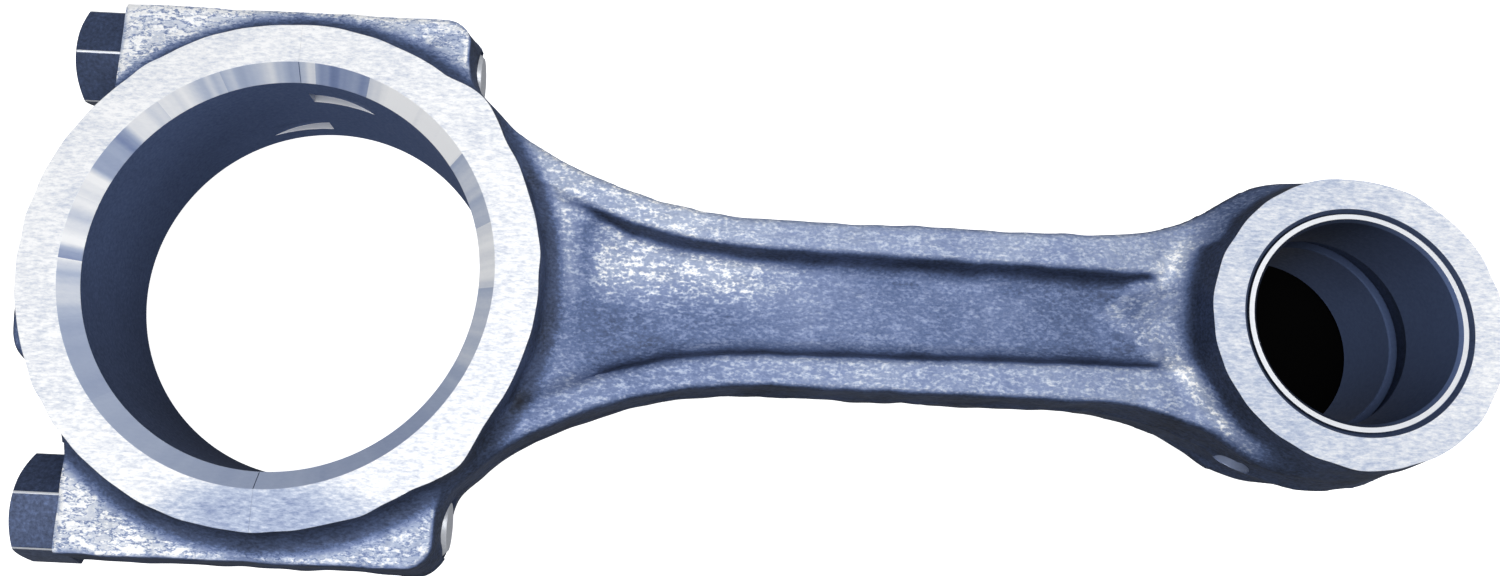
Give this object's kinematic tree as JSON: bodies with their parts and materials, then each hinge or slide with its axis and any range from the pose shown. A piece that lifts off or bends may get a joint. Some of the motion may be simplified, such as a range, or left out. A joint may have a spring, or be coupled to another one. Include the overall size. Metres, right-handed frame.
{
  "type": "connecting rod",
  "caption": "Forged connecting rod: I-section shank, split big end closed by a bolted cap, and a small end with press-fitted bushes and an oil hole.",
  "frame": {"origin": "centre of the big-end bore at mid width", "axes": "+X along the shank to the small end, +Y across the bolts towards the shell notches, +Z along both bores; the rod lies on its side"},
  "size_m": [0.2618, 0.1019, 0.037],
  "materials": {
    "forged_steel": "shot-blasted forging, machined bright on the faces, bores and joint",
    "bolt_steel": "dark oxide, fine machined",
    "dowel_steel": "ground",
    "bush_metal": "fine bored, bright rim"
  },
  "bodies": {
    "rod": {"rod_body": "forged_steel", "upper_dowel": "dowel_steel", "lower_dowel": "dowel_steel", "front_bush": "bush_metal", "rear_bush": "bush_metal"},
    "cap": {"bearing_cap": "forged_steel"},
    "upper_bolt": {"upper_cap_bolt": "bolt_steel"},
    "lower_bolt": {"lower_cap_bolt": "bolt_steel"}
  },
  "joints": [
    {"name": "cap_removal", "type": "slide", "parent": "rod", "child": "cap", "axis": [-1, 0, 0], "range_m": [0, 0.06]},
    {"name": "upper_bolt_draw", "type": "slide", "parent": "cap", "child": "upper_bolt", "axis": [-1, 0, 0], "range_m": [0, 0.07]},
    {"name": "lower_bolt_draw", "type": "slide", "parent": "cap", "child": "lower_bolt", "axis": [-1, 0, 0], "range_m": [0, 0.07]}
  ]
}
